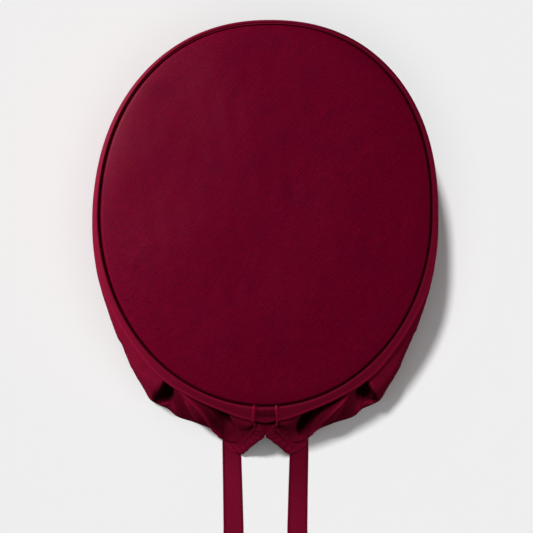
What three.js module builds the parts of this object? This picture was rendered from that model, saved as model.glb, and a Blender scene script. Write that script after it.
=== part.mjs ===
// A tie-back surgical cap standing on its rim: an oval crown panel, a side band whose back is drawn
// together in folds by two flat ties, and the small pieces that close the slit at the back.
//
// Millimetres. Z is up and the rim stands on Z = 0. The front of the head is +Y, and the slit and the
// ties are at -Y. X = 0 is the middle of the cap. Both sides are the same, but for the forehead, which
// stands a little over to +X.
//
// The seam between crown and band is an oval in a plane that slopes down towards the back. Every
// point of the band is given by its turn round that oval, in degrees from the middle of the back, by
// how far out it stands from the seam, and by its height.

import * as THREE from "three";

// ---- Driving dimensions ----
const CLOTH = 1.3; // thickness of a wall of doubled cotton twill
const HEM_CLOTH = 2.4; // thickness where the rim is turned up and stitched
const HEM_HEIGHT = 11;
const GAP = 0.3; // between pieces that touch

const SEAM = {
  halfWidth: 82.95,
  halfLength: 95.3,
  middleY: 13.8,
  frontPower: { left: 2.17, right: 2.2 }, // a little squarer than an ellipse round the forehead
  skew: 2.2, // how far the middle of the forehead stands over to +X
  frontZ: 92,
  backZ: 73,
  groove: 1.2, // depth of the groove along the stitching
  allowance: 5, // cloth turned down inside the cap
};
const CROWN = {
  dome: 7, // rise of its middle over the plane of the seam
  fullness: 0.65, // below 1 the middle is flatter and the edge rounder
  rings: [0, 20, 40, 58, 70, 77.5, 80.6], // radii of its rings on a disc as wide as the seam
  lip: 0.5, // width of the rounded lip beside the groove
  even: 3, // width of the edge where distances from the edge are true
  blend: 12, // where that begins to fade
  segments: 64,
};

// The roll of the band over the seam. The ridge is the outermost line that shows from above; it lies
// lower, and the cloth turns further in under it, the further out it stands.
const ROLL = {
  lip: { out: 1.1, rise: 0.2 },
  shoulder: { inside: 0.9, above: 1.2 }, // from the ridge
  near: { out: 2, drop: 2.4, under: -0.2 },
  far: { out: 8, drop: 7, under: 0.7 },
  tuck: { middle: 2, end: 5 }, // below the ridge
};

// The wall's height at its waist and skirt, as shares of the height from rim to ridge.
const WAIST = 0.72;
const WAIST_DROP = 6.5; // the least that the waist lies below the ridge, where the wall is short
const SKIRT = 0.23;

// The band, from the edge of the slit to the middle of the front. Each row is one fold line that runs
// from the ridge under the seam down to the rim.
//   turn   where it leaves the ridge, in degrees from the middle of the back
//   steps  strips of cloth from this row to the next
//   ridge, waist, skirt, hem   how far out it stands at each height
//   waistLean, skirtLean, hemLean   degrees that it has drifted from its turn at that height
//   lift   height of its lower end over the ground
const FOLDS = [
  { name: "slit edge", turn: 4.1, steps: 2, ridge: 8.4, waist: 10.2, skirt: 12, hem: 12.9,
    waistLean: -0.4, skirtLean: -0.8, hemLean: -1, lift: 50 },
  { name: "arch", turn: 7.8, steps: 2, ridge: 7.5, waist: 11.4, skirt: 16.4, hem: 19.5,
    waistLean: -1, skirtLean: -2.1, hemLean: -2.8, lift: 30 },
  { name: "tie exit", turn: 12.5, steps: 2, ridge: 6.4, waist: 10.2, skirt: 18.4, hem: 25.4,
    waistLean: -2.1, skirtLean: -4, hemLean: -5, lift: 10 },
  { name: "tie mouth", turn: 15.5, steps: 2, ridge: 5.9, waist: 6.5, skirt: 15, hem: 26.4,
    waistLean: -2.6, skirtLean: -5, hemLean: -6, lift: 3 },
  { name: "valley", turn: 19.9, steps: 3, ridge: 5.6, waist: 4.4, skirt: 9.5, hem: 26.6,
    waistLean: -3.5, skirtLean: -5.5, hemLean: -9.6, lift: 2 },
  { name: "valley flank", turn: 25.5, steps: 3, ridge: 5.5, waist: 4.4, skirt: 10.2, hem: 26.4,
    waistLean: -4.2, skirtLean: -7.6, hemLean: -14.2, lift: 2.1 },
  { name: "diagonal fold", turn: 30.2, steps: 1, ridge: 5.8, waist: 9.2, skirt: 17.2, hem: 25.2,
    waistLean: -5.4, skirtLean: -11.6, hemLean: -17.5, lift: 1.3 },
  { name: "lobe, inner", turn: 31.1, steps: 2, ridge: 5.9, waist: 9.6, skirt: 17.6, hem: 22,
    waistLean: -5.2, skirtLean: -10.8, hemLean: -15.2, lift: 0 },
  { name: "lobe, middle", turn: 31.8, steps: 1, ridge: 6, waist: 9.4, skirt: 17.4, hem: 21.6,
    waistLean: -4, skirtLean: -8.1, hemLean: -11, lift: 0 },
  { name: "lobe, outer", turn: 32.5, steps: 1, ridge: 6.1, waist: 9.8, skirt: 18.4, hem: 22.6,
    waistLean: -2.7, skirtLean: -5.3, hemLean: -6.4, lift: 0 },
  { name: "recess", turn: 33.3, steps: 1, ridge: 6, waist: 4.6, skirt: 9.5, hem: 21.5,
    waistLean: -1.2, skirtLean: -2.4, hemLean: -4.5, lift: 0 },
  { name: "recess, ear side", turn: 34.3, steps: 1, ridge: 6, waist: 4.8, skirt: 9.5, hem: 22.9,
    waistLean: -0.4, skirtLean: -1.4, hemLean: -2.8, lift: 0 },
  { name: "ear edge", turn: 35.4, steps: 1, ridge: 6.1, waist: 13.4, skirt: 20.8, hem: 24.3,
    waistLean: -0.6, skirtLean: -1.2, hemLean: -1.2, lift: 0 },
  { name: "ear", turn: 36.9, steps: 2, ridge: 6.1, waist: 14.2, skirt: 21, hem: 23.7,
    waistLean: 0, skirtLean: -0.8, hemLean: -1.2, lift: 0 },
  { name: "behind the ear", turn: 39.8, steps: 2, ridge: 6, waist: 14, skirt: 19.8, hem: 21.8,
    waistLean: 0, skirtLean: -0.6, hemLean: -1.3, lift: 0 },
  { name: "flare", turn: 44.2, steps: 2, ridge: 5.5, waist: 12.6, skirt: 17.6, hem: 19,
    waistLean: 0.1, skirtLean: 0, hemLean: 0, lift: 0 },
  { name: "crease", turn: 49.4, steps: 2, ridge: 5.1, waist: 10.6, skirt: 14.6, hem: 15.8,
    waistLean: 0.5, skirtLean: 0.8, hemLean: 0.8, lift: 0 },
  { name: "flare, side", turn: 56.7, steps: 2, ridge: 5, waist: 9.2, skirt: 12.5, hem: 13.4,
    waistLean: 0.5, skirtLean: 1.1, hemLean: 1.1, lift: 0 },
  { name: "temple, back", turn: 64.2, steps: 2, ridge: 5.3, waist: 8.2, skirt: 10.4, hem: 11.4,
    waistLean: 0.6, skirtLean: 1.2, hemLean: 1.5, lift: 0 },
  { name: "temple", turn: 71.5, steps: 5, ridge: 5.4, waist: 7.4, skirt: 9.2, hem: 10,
    waistLean: 0.7, skirtLean: 0.8, hemLean: 0.9, lift: 0 },
  { name: "side", turn: 90, steps: 6, ridge: 4, waist: 6, skirt: 7.4, hem: 7.6,
    waistLean: 0, skirtLean: 0, hemLean: 0, lift: 0 },
  { name: "side, front", turn: 120, steps: 6, ridge: 3.3, waist: 5, skirt: 6, hem: 5.8,
    waistLean: 0, skirtLean: 0, hemLean: 0, lift: 0 },
  { name: "forehead, side", turn: 150, steps: 6, ridge: 2.7, waist: 3.6, skirt: 4.1, hem: 3.9,
    waistLean: 0, skirtLean: 0, hemLean: 0, lift: 0 },
  { name: "forehead", turn: 180, steps: 4, ridge: 2.3, waist: 2.9, skirt: 3.2, hem: 3,
    waistLean: 0, skirtLean: 0, hemLean: 0, lift: 0 },
];

// Two flat ties, each tucked under the rim below the end of its casing and laid straight back on the
// ground. The rows follow one tie's middle line. X is counted away from the middle.
const TIE = { width: 10.6, thickness: 1.3 };
const TIE_ROUTE = [
  { x: 18.3, y: -104.6, z: 0.7 },
  { x: 18.3, y: -108, z: 0.7 },
  { x: 18.2, y: -112, z: 0.7 },
  { x: 18.1, y: -116, z: 0.7 },
  { x: 18, y: -120, z: 0.7 },
  { x: 17.9, y: -124, z: 0.7 },
  { x: 17.8, y: -128, z: 0.7 },
  { x: 17.7, y: -132, z: 0.7 },
  { x: 17.6, y: -137, z: 0.7 },
  { x: 17.5, y: -142, z: 0.7 },
  { x: 17.4, y: -147, z: 0.7 },
  { x: 17.3, y: -152, z: 0.7 },
  { x: 17.3, y: -157, z: 0.7 },
  { x: 17.2, y: -162, z: 0.7 },
  { x: 17.2, y: -167, z: 0.7 },
  { x: 17.2, y: -172, z: 0.7 },
];

// The casing at the end of the rim's hem: a flattened, gathered tube from the top of the arch down to
// the tie. Each row is one level: the tube's stitched edge on the band, its free edge on the arch, and
// its depth through the cloth. X is counted away from the middle.
const CASING = [
  { z: 55, stitchX: 5.2, stitchY: -92.9, edgeX: 4.4, edgeY: -93.3, depth: 0.9 },
  { z: 50, stitchX: 5.3, stitchY: -95, edgeX: 3.3, edgeY: -95.8, depth: 1.8 },
  { z: 45, stitchX: 6.1, stitchY: -96.6, edgeX: 2, edgeY: -98.1, depth: 2.4 },
  { z: 40.5, stitchX: 6.8, stitchY: -97.8, edgeX: 0.9, edgeY: -100.2, depth: 2.6 },
  { z: 35, stitchX: 7.8, stitchY: -99.5, edgeX: 3.4, edgeY: -102.7, depth: 2.8 },
  { z: 28, stitchX: 9.2, stitchY: -101.5, edgeX: 5.7, edgeY: -105.3, depth: 3 },
  { z: 20, stitchX: 11, stitchY: -103.9, edgeX: 8, edgeY: -107.7, depth: 3 },
  { z: 11, stitchX: 14, stitchY: -106.6, edgeX: 10.4, edgeY: -110.7, depth: 3.2 },
  { z: 5.6, stitchX: 17.2, stitchY: -107.7, edgeX: 12.9, edgeY: -112.3, depth: 3 },
  { z: 3.2, stitchX: 20.2, stitchY: -107.5, edgeX: 17.5, edgeY: -111.1, depth: 2 },
  { z: 2.5, stitchX: 21.9, stitchY: -107.3, edgeX: 21.3, edgeY: -108.5, depth: 1.2 },
];

// The V of cloth behind the slit and its two casings: half its width, its place, and how far its
// middle is folded in, from the bridge down.
const GUSSET = [
  { z: 64, halfWidth: 6.6, y: -84.5, fold: 0 },
  { z: 58, halfWidth: 6, y: -85.7, fold: 0.2 },
  { z: 52, halfWidth: 5, y: -89.8, fold: 0.4 },
  { z: 46, halfWidth: 4, y: -93.4, fold: 0.6 },
  { z: 41, halfWidth: 2.6, y: -96.4, fold: 0.6 },
  { z: 37, halfWidth: 1.2, y: -98.6, fold: 0.4 },
];
const GUSSET_CLOTH = 1;
const GUSSET_STRIPS = 6;

// The panel that bridges the slit at its top, lying a little under the edges of the slit.
const BRIDGE = {
  halfTurn: 3.55, // of the seam oval, in degrees
  start: 0.1, // shares of the way down the slit's edge
  end: 0.44,
  arch: 0.02, // how much further its lower edge hangs at the middle
  recess: 0.6, // how far it lies below and behind the slit's edges
  crease: 0.35, // depth of the soft creases across it
  creasePitch: 3, // strips from one crease to the next
  strips: 6,
  stripsDown: 9,
};
const BRIDGE_CLOTH = 1;

const BACK_HEM = { radius: 0.65, start: 0.14, end: 0.82, steps: 12, sides: 6, turnedOut: 0.6 };
const GATHERS = { count: 9, stepsEach: 3, depth: 0.08, sides: 10 };
const TIE_CORNER = 0.4;
const ROUGHNESS = 0.85;

const CLOTH_COLOURS = {
  crown: "#60122c",
  band: "#6a1631",
  trim: "#701a36",
  tie: "#6e1733",
};

// ---- The oval of the seam ----
const radians = THREE.MathUtils.degToRad;

// The point of the seam at a turn in degrees: 0 is the middle of the back, and turns below 180 are on
// the -X side.
function seamPoint(turn) {
  const across = Math.sin(radians(turn));
  const along = Math.cos(radians(turn));
  const frontPower = across > 0 ? SEAM.frontPower.left : SEAM.frontPower.right;
  const power = along < 0 ? 2 / frontPower : 1;
  const skew = SEAM.skew * Math.max(-along, 0);
  const x = -SEAM.halfWidth * Math.sign(across) * Math.abs(across) ** power + skew;
  const y = SEAM.middleY - SEAM.halfLength * Math.sign(along) * Math.abs(along) ** power;
  return new THREE.Vector3(x, y, seamHeight(y));
}

function seamHeight(y) {
  const share = (y - SEAM.middleY + SEAM.halfLength) / (2 * SEAM.halfLength);
  return THREE.MathUtils.lerp(SEAM.backZ, SEAM.frontZ, share);
}

// The level direction that points away from the cap, square to the seam.
function outward(turn) {
  const along = seamPoint(turn + 0.1).sub(seamPoint(turn - 0.1));
  return new THREE.Vector3(-along.y, along.x, 0).normalize();
}

function bandPoint(turn, out, z) {
  return seamPoint(turn).addScaledVector(outward(turn), out).setZ(z);
}

// ---- Closed shells ----
// Rings of the same even number of points make a closed skin. Each end is closed by rungs between a
// ring's first half and its second half.
function skin(rings) {
  const count = rings[0].length;
  const positions = rings.flat().flatMap((point) => point.toArray());
  const index = [];
  const quad = (a, b, c, d) => index.push(a, c, b, a, d, c);
  for (let ring = 0; ring + 1 < rings.length; ring++) {
    for (let k = 0; k < count; k++) {
      const next = (k + 1) % count;
      quad(ring * count + k, ring * count + next, (ring + 1) * count + next, (ring + 1) * count + k);
    }
  }
  const last = (rings.length - 1) * count;
  for (let k = 0; k + 1 < count / 2; k++) {
    const far = count - 1 - k;
    quad(k, far, far - 1, k + 1);
    quad(last + k, last + k + 1, last + far - 1, last + far);
  }
  const geometry = new THREE.BufferGeometry();
  geometry.setAttribute("position", new THREE.Float32BufferAttribute(positions, 3));
  geometry.setIndex(index);
  geometry.computeVertexNormals();
  return geometry;
}

// A wall from the rows of its outer face: each row gets an inner face `thickness(row, column)` behind.
function wall(rows, thickness) {
  const clampedPoint = (row, column) => {
    const r = THREE.MathUtils.clamp(row, 0, rows.length - 1);
    return rows[r][THREE.MathUtils.clamp(column, 0, rows[r].length - 1)];
  };
  const rings = rows.map((points, row) => {
    const inner = points.map((point, column) => {
      const along = clampedPoint(row + 1, column).clone().sub(clampedPoint(row - 1, column));
      const down = clampedPoint(row, column + 1).clone().sub(clampedPoint(row, column - 1));
      const out = along.cross(down).normalize();
      return point.clone().addScaledVector(out, -thickness(row, column));
    });
    return [...points, ...inner.reverse()];
  });
  return skin(rings);
}

// ---- The crown ----
function crownGeometry() {
  const edge = SEAM.halfWidth - GAP / 2;
  const rise = (radius) => CROWN.dome * (1 - (radius / SEAM.halfWidth) ** 2) ** CROWN.fullness;
  const top = CROWN.rings.map((radius) => new THREE.Vector2(radius, rise(radius)));
  top.push(new THREE.Vector2(edge - CROWN.lip, 0));
  top.push(new THREE.Vector2(edge, -SEAM.groove));
  const under = top.map((point) => new THREE.Vector2(Math.min(point.x, edge - CLOTH), point.y - CLOTH));
  under.pop();
  const profile = [
    ...top,
    new THREE.Vector2(edge, -SEAM.allowance),
    new THREE.Vector2(edge - CLOTH, -SEAM.allowance),
    ...under.reverse(),
  ];
  const geometry = new THREE.LatheGeometry(profile, CROWN.segments);
  geometry.deleteAttribute("uv");
  geometry.deleteAttribute("normal");

  // The round disc is drawn out to the oval. Near the edge, distances in from the edge stay the same.
  const places = geometry.getAttribute("position");
  const middle = new THREE.Vector3(0, SEAM.middleY, 0);
  for (let i = 0; i < places.count; i++) {
    const radius = Math.hypot(places.getX(i), places.getZ(i));
    const turn = THREE.MathUtils.radToDeg(Math.atan2(places.getX(i), places.getZ(i)));
    const rim = seamPoint(turn).setZ(0);
    const reach = rim.distanceTo(middle);
    const inset = (SEAM.halfWidth - radius) * THREE.MathUtils.lerp(reach / SEAM.halfWidth, 1,
      THREE.MathUtils.smoothstep(radius, SEAM.halfWidth - CROWN.blend, SEAM.halfWidth - CROWN.even));
    const point = rim.sub(middle).multiplyScalar(1 - inset / reach).add(middle);
    places.setXYZ(i, point.x, point.y, seamHeight(point.y) + places.getY(i));
  }
  geometry.computeVertexNormals();
  return geometry;
}

// ---- The side band ----
// The fold rows of both sides in one line, from the slit's edge on the -X side round the front to the
// slit's edge on the +X side, and the strips of cloth between one row and the next.
const FOLDS_ALL_ROUND = [
  ...FOLDS.map((fold) => ({ ...fold, side: 1 })),
  ...FOLDS.slice(0, -1).toReversed().map((fold) => ({ ...fold, side: -1 })),
];
const STRIPS = FOLDS.slice(0, -1).map((fold) => fold.steps);
const STRIPS_ALL_ROUND = [...STRIPS, ...STRIPS.toReversed()];

// The turn, the distance out and the lift of one height of the band, all the way round.
function levelCurve(height, lean) {
  return new THREE.CatmullRomCurve3(FOLDS_ALL_ROUND.map((fold) => {
    const turn = fold.turn + (lean ? fold[lean] : 0);
    return new THREE.Vector3(fold.side > 0 ? turn : 360 - turn, fold[height], fold.lift);
  }));
}

const LEVELS = {
  ridge: levelCurve("ridge"),
  waist: levelCurve("waist", "waistLean"),
  skirt: levelCurve("skirt", "skirtLean"),
  hem: levelCurve("hem", "hemLean"),
};

// Down from the groove: how many strips of cloth lie between one named height and the next.
const DOWN_STEPS = [1, 1, 1, 1, 1, 3, 3, 2];

// The line down the band's outer face at a share of the way round, from the groove to the rim.
function bandSection(share) {
  const ridge = LEVELS.ridge.getPoint(share);
  const waist = LEVELS.waist.getPoint(share);
  const skirt = LEVELS.skirt.getPoint(share);
  const hem = LEVELS.hem.getPoint(share);
  const turn = ridge.x;
  const out = ridge.y;
  const top = seamPoint(turn).z;
  const byReach = (key) => THREE.MathUtils.mapLinear(
    out, ROLL.near.out, ROLL.far.out, ROLL.near[key], ROLL.far[key]);
  const ridgeZ = top - byReach("drop");
  const under = byReach("under");
  const lift = Math.max(hem.z, 0);
  return new THREE.CatmullRomCurve3([
    bandPoint(turn, GAP / 2, top - SEAM.groove),
    bandPoint(turn, ROLL.lip.out, top + ROLL.lip.rise),
    bandPoint(turn, out - ROLL.shoulder.inside, ridgeZ + ROLL.shoulder.above),
    bandPoint(turn, out, ridgeZ),
    bandPoint(turn, out - under / 2, ridgeZ - ROLL.tuck.middle),
    bandPoint(turn, out - under, ridgeZ - ROLL.tuck.end),
    bandPoint(waist.x, waist.y, Math.min(THREE.MathUtils.lerp(lift, ridgeZ, WAIST), ridgeZ - WAIST_DROP)),
    bandPoint(skirt.x, skirt.y, THREE.MathUtils.lerp(lift, ridgeZ, SKIRT)),
    bandPoint(hem.x, hem.y, lift),
  ]);
}

function sectionPoints(curve, stepsDown) {
  const points = [curve.getPoint(0)];
  stepsDown.forEach((steps, segment) => {
    for (let step = 1; step <= steps; step++) {
      points.push(curve.getPoint((segment + step / steps) / stepsDown.length));
    }
  });
  return points;
}

function bandGeometry() {
  const shares = [];
  STRIPS_ALL_ROUND.forEach((strips, row) => {
    for (let strip = 0; strip < strips; strip++) {
      shares.push((row + strip / strips) / STRIPS_ALL_ROUND.length);
    }
  });
  shares.push(1);
  const rows = shares.map((share) => sectionPoints(bandSection(share), DOWN_STEPS));
  const hemmed = (row, column) => {
    const last = rows[row].length - 1;
    const above = rows[row][column].z - rows[row][last].z;
    return above < HEM_HEIGHT ? HEM_CLOTH : CLOTH;
  };
  const geometry = wall(rows, hemmed);
  // The lower edge is turned up level, so outside and inside stand on the ground together.
  const places = geometry.getAttribute("position");
  const ring = rows[0].length * 2;
  rows.forEach((points, row) => {
    const outer = row * ring + points.length - 1;
    places.setZ(outer + 1, places.getZ(outer));
  });
  geometry.computeVertexNormals();
  return geometry;
}

// ---- The slit at the back ----
// side is 1 on the -X side and -1 on the +X side.
const slitEdge = (side) => bandSection(side > 0 ? 0 : 1);

// The narrow rolled hem along each edge of the slit, lying on the band's edge.
function backHemGeometry(side) {
  const edge = slitEdge(side);
  const across = new THREE.Vector3(1, 0, 0);
  const rings = [];
  for (let step = 0; step <= BACK_HEM.steps; step++) {
    const share = THREE.MathUtils.lerp(BACK_HEM.start, BACK_HEM.end, step / BACK_HEM.steps);
    const out = edge.getTangent(share).cross(across).normalize();
    const middle = edge.getPoint(share).addScaledVector(out, BACK_HEM.radius + GAP);
    middle.x += side * BACK_HEM.radius * BACK_HEM.turnedOut;
    const ring = [];
    for (let k = 0; k < BACK_HEM.sides; k++) {
      const angle = (2 * Math.PI * k) / BACK_HEM.sides;
      ring.push(middle.clone()
        .addScaledVector(across, -Math.cos(angle) * BACK_HEM.radius)
        .addScaledVector(out, Math.sin(angle) * BACK_HEM.radius));
    }
    rings.push(ring);
  }
  return skin(rings);
}

// The short panel that bridges the slit at its top, with soft creases across it.
function bridgeGeometry() {
  const rows = [];
  for (let row = 0; row <= BRIDGE.strips; row++) {
    const across = THREE.MathUtils.lerp(-1, 1, row / BRIDGE.strips);
    const turn = -across * BRIDGE.halfTurn;
    const end = BRIDGE.end - BRIDGE.arch * across ** 2;
    const points = [];
    for (let step = 0; step <= BRIDGE.stripsDown; step++) {
      const wave = Math.cos((2 * Math.PI * step) / BRIDGE.creasePitch);
      const crease = BRIDGE.crease * wave * (1 - across ** 2) * Math.min(step / BRIDGE.creasePitch, 1);
      const share = THREE.MathUtils.lerp(BRIDGE.start, end, step / BRIDGE.stripsDown);
      const point = slitEdge(1).getPoint(share);
      point.x = seamPoint(turn).x;
      point.y += seamPoint(turn).y - seamPoint(FOLDS[0].turn).y + BRIDGE.recess / 2;
      point.z -= BRIDGE.recess + crease;
      points.push(point);
    }
    rows.push(points);
  }
  return wall(rows, () => BRIDGE_CLOTH);
}

// The V of cloth behind the two casings, folded down its middle.
function gussetGeometry() {
  const rows = [];
  for (let row = 0; row <= GUSSET_STRIPS; row++) {
    const across = THREE.MathUtils.lerp(-1, 1, row / GUSSET_STRIPS);
    rows.push(GUSSET.map(({ z, halfWidth, y, fold }) => (
      new THREE.Vector3(across * halfWidth, y + fold * (1 - Math.abs(across)), z))));
  }
  return wall(rows, () => GUSSET_CLOTH);
}

function casingGeometry(side) {
  const curve = (place) => new THREE.CatmullRomCurve3(CASING.map(place));
  const stitch = curve((row) => new THREE.Vector3(-side * row.stitchX, row.stitchY, row.z));
  const edge = curve((row) => new THREE.Vector3(-side * row.edgeX, row.edgeY, row.z));
  const depths = curve((row) => new THREE.Vector3(row.depth, 0, row.z));
  const steps = GATHERS.count * GATHERS.stepsEach;
  const rings = [];
  for (let step = 0; step <= steps; step++) {
    const share = step / steps;
    const across = edge.getPoint(share).sub(stitch.getPoint(share)).multiplyScalar(0.5);
    const middle = stitch.getPoint(share).add(across);
    const down = stitch.getTangent(share).add(edge.getTangent(share));
    const out = across.clone().cross(down).normalize().multiplyScalar(side);
    const pucker = 1 + GATHERS.depth * Math.cos(2 * Math.PI * GATHERS.count * share);
    const halfDepth = (depths.getPoint(share).x / 2) * pucker;
    const ring = [];
    for (let k = 0; k < GATHERS.sides; k++) {
      const angle = (side * 2 * Math.PI * k) / GATHERS.sides;
      ring.push(middle.clone()
        .addScaledVector(across, Math.cos(angle))
        .addScaledVector(out, Math.sin(angle) * halfDepth));
    }
    rings.push(ring);
  }
  return skin(rings);
}

// ---- The ties ----
// A flat section with its edges rounded off, carried along the route.
function tieGeometry(side) {
  const halfWidth = TIE.width / 2;
  const halfDepth = TIE.thickness / 2;
  const section = new THREE.Shape([
    new THREE.Vector2(halfDepth, TIE_CORNER - halfWidth),
    new THREE.Vector2(halfDepth, halfWidth - TIE_CORNER),
    new THREE.Vector2(halfDepth - TIE_CORNER, halfWidth),
    new THREE.Vector2(TIE_CORNER - halfDepth, halfWidth),
    new THREE.Vector2(-halfDepth, halfWidth - TIE_CORNER),
    new THREE.Vector2(-halfDepth, TIE_CORNER - halfWidth),
    new THREE.Vector2(TIE_CORNER - halfDepth, -halfWidth),
    new THREE.Vector2(halfDepth - TIE_CORNER, -halfWidth),
  ]);
  const route = TIE_ROUTE.map(({ x, y, z }) => new THREE.Vector3(-side * x, y, z));
  return new THREE.ExtrudeGeometry(section, {
    steps: route.length - 1,
    bevelEnabled: false,
    extrudePath: new THREE.CatmullRomCurve3(route),
  });
}

// ---- The assembly ----
function piece(name, geometry, colour) {
  const material = new THREE.MeshStandardMaterial({ color: colour, roughness: ROUGHNESS, metalness: 0 });
  const mesh = new THREE.Mesh(geometry, material);
  mesh.name = name;
  return mesh;
}

const cap = new THREE.Group();
cap.name = "surgical_cap";
cap.add(piece("crown_panel", crownGeometry(), CLOTH_COLOURS.crown));
cap.add(piece("side_band", bandGeometry(), CLOTH_COLOURS.band));
cap.add(piece("back_bridge", bridgeGeometry(), CLOTH_COLOURS.band));
cap.add(piece("back_gusset", gussetGeometry(), CLOTH_COLOURS.band));
for (const [label, side] of [["left", 1], ["right", -1]]) {
  cap.add(piece(`back_hem_${label}`, backHemGeometry(side), CLOTH_COLOURS.trim));
  cap.add(piece(`casing_${label}`, casingGeometry(side), CLOTH_COLOURS.trim));
  cap.add(piece(`tie_${label}`, tieGeometry(side), CLOTH_COLOURS.tie));
}

export default cap;
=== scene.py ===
"""A tie-back surgical cap in dark red cotton twill, standing on its rim with its ties laid back.

The shape of each piece is worked out in millimetres and made a mesh in metres. Z is up, the rim
stands on Z = 0, the front of the head is +Y, and the slit and the ties are at -Y. Every point of
the side band is given by its turn round the seam oval, in degrees from the middle of the back, by
how far out it stands from the seam, and by its height.
"""

import math

import bpy
import numpy as np
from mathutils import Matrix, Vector


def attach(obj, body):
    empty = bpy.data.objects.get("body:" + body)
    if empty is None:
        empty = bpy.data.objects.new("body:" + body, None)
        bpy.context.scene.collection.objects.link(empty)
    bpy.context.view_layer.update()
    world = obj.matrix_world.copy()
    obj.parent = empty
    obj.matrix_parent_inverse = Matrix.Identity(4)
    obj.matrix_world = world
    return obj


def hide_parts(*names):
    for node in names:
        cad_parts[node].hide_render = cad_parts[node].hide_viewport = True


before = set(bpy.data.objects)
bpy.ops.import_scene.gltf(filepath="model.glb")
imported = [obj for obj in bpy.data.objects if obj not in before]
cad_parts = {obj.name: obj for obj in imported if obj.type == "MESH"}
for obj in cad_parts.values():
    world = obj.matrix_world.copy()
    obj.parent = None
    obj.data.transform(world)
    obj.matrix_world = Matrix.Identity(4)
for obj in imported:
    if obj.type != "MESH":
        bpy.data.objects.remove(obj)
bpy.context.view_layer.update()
bpy.ops.object.select_all(action="DESELECT")

MM = 0.001
ACROSS, AHEAD, UP = np.eye(3)

# ---- Driving dimensions, in millimetres ----
CLOTH = 1.3  # a wall of doubled cotton twill
INSERT_CLOTH = 1  # the bridge and the gusset
HEM_CLOTH = 2.4  # where the rim is turned up and stitched
HEM_HEIGHT = 10.5  # of the stitching over the rim

SEAM = {
    "half_width": 82.95,
    "half_length": 95.3,
    "middle_y": 13.8,
    "front_powers": (2.17, 2.2),  # at -X and at +X, a little squarer than an ellipse
    "skew": 2.2,  # how far the middle of the forehead stands over to +X
    "front_z": 92,
    "back_z": 73,
    "allowance": 5,  # cloth turned down inside the cap
}
CROWN = {
    "inside": 0.35,  # how far its edge stands from the seam oval
    "dome": 7,
    "fullness": 0.65,
    "even": 3,  # its rings keep one distance from the edge this far in,
    "blend": 12,  # and no longer do this far in
}

# The roll of the band over the seam. The ridge is the outermost line that shows from above; it lies
# lower, and the cloth turns further in under it, the further out it stands.
SLOT_BOTTOM_OUT, SLOT_DEPTH = 0.15, 3.4  # the narrow slot along the crown's seam
SLOT_TOP_OUT, SLOT_TOP_DROP = 0.7, 0.9
ROLL_LIP_OUT, ROLL_LIP_RISE = 1.35, 0.1
SHOULDER_INSIDE, SHOULDER_ABOVE = 0.9, 1.2
NEAR_OUT, NEAR_DROP, NEAR_UNDER = 2, 2.1, -0.2
FAR_OUT, FAR_DROP, FAR_UNDER = 8, 5.4, 1.3
RIDGE_BEAD = (0.32, 0.55, -0.3)  # the pressed edge of the roll at the back: height, width, place
SLOT_SHADE = -0.68  # painted shade: how much darker the cloth is painted inside the slot, where shade falls
RIDGE_HIGHLIGHT = (-1.3, 0.6, 0.36)  # a painted highlight along the ridge: place, width, how much
CREASE_HIGHLIGHT_REACH = 0.7  # how far the painted highlight along a crease reaches from its line
TUCK_MIDDLE, TUCK_END = 2, 5

# The wall's height at its waist and skirt, as shares of the height from rim to ridge.
WAIST = 0.72
WAIST_DROP = 6.5  # the least that the waist lies below the ridge, where the wall is short
SKIRT = 0.23

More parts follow.
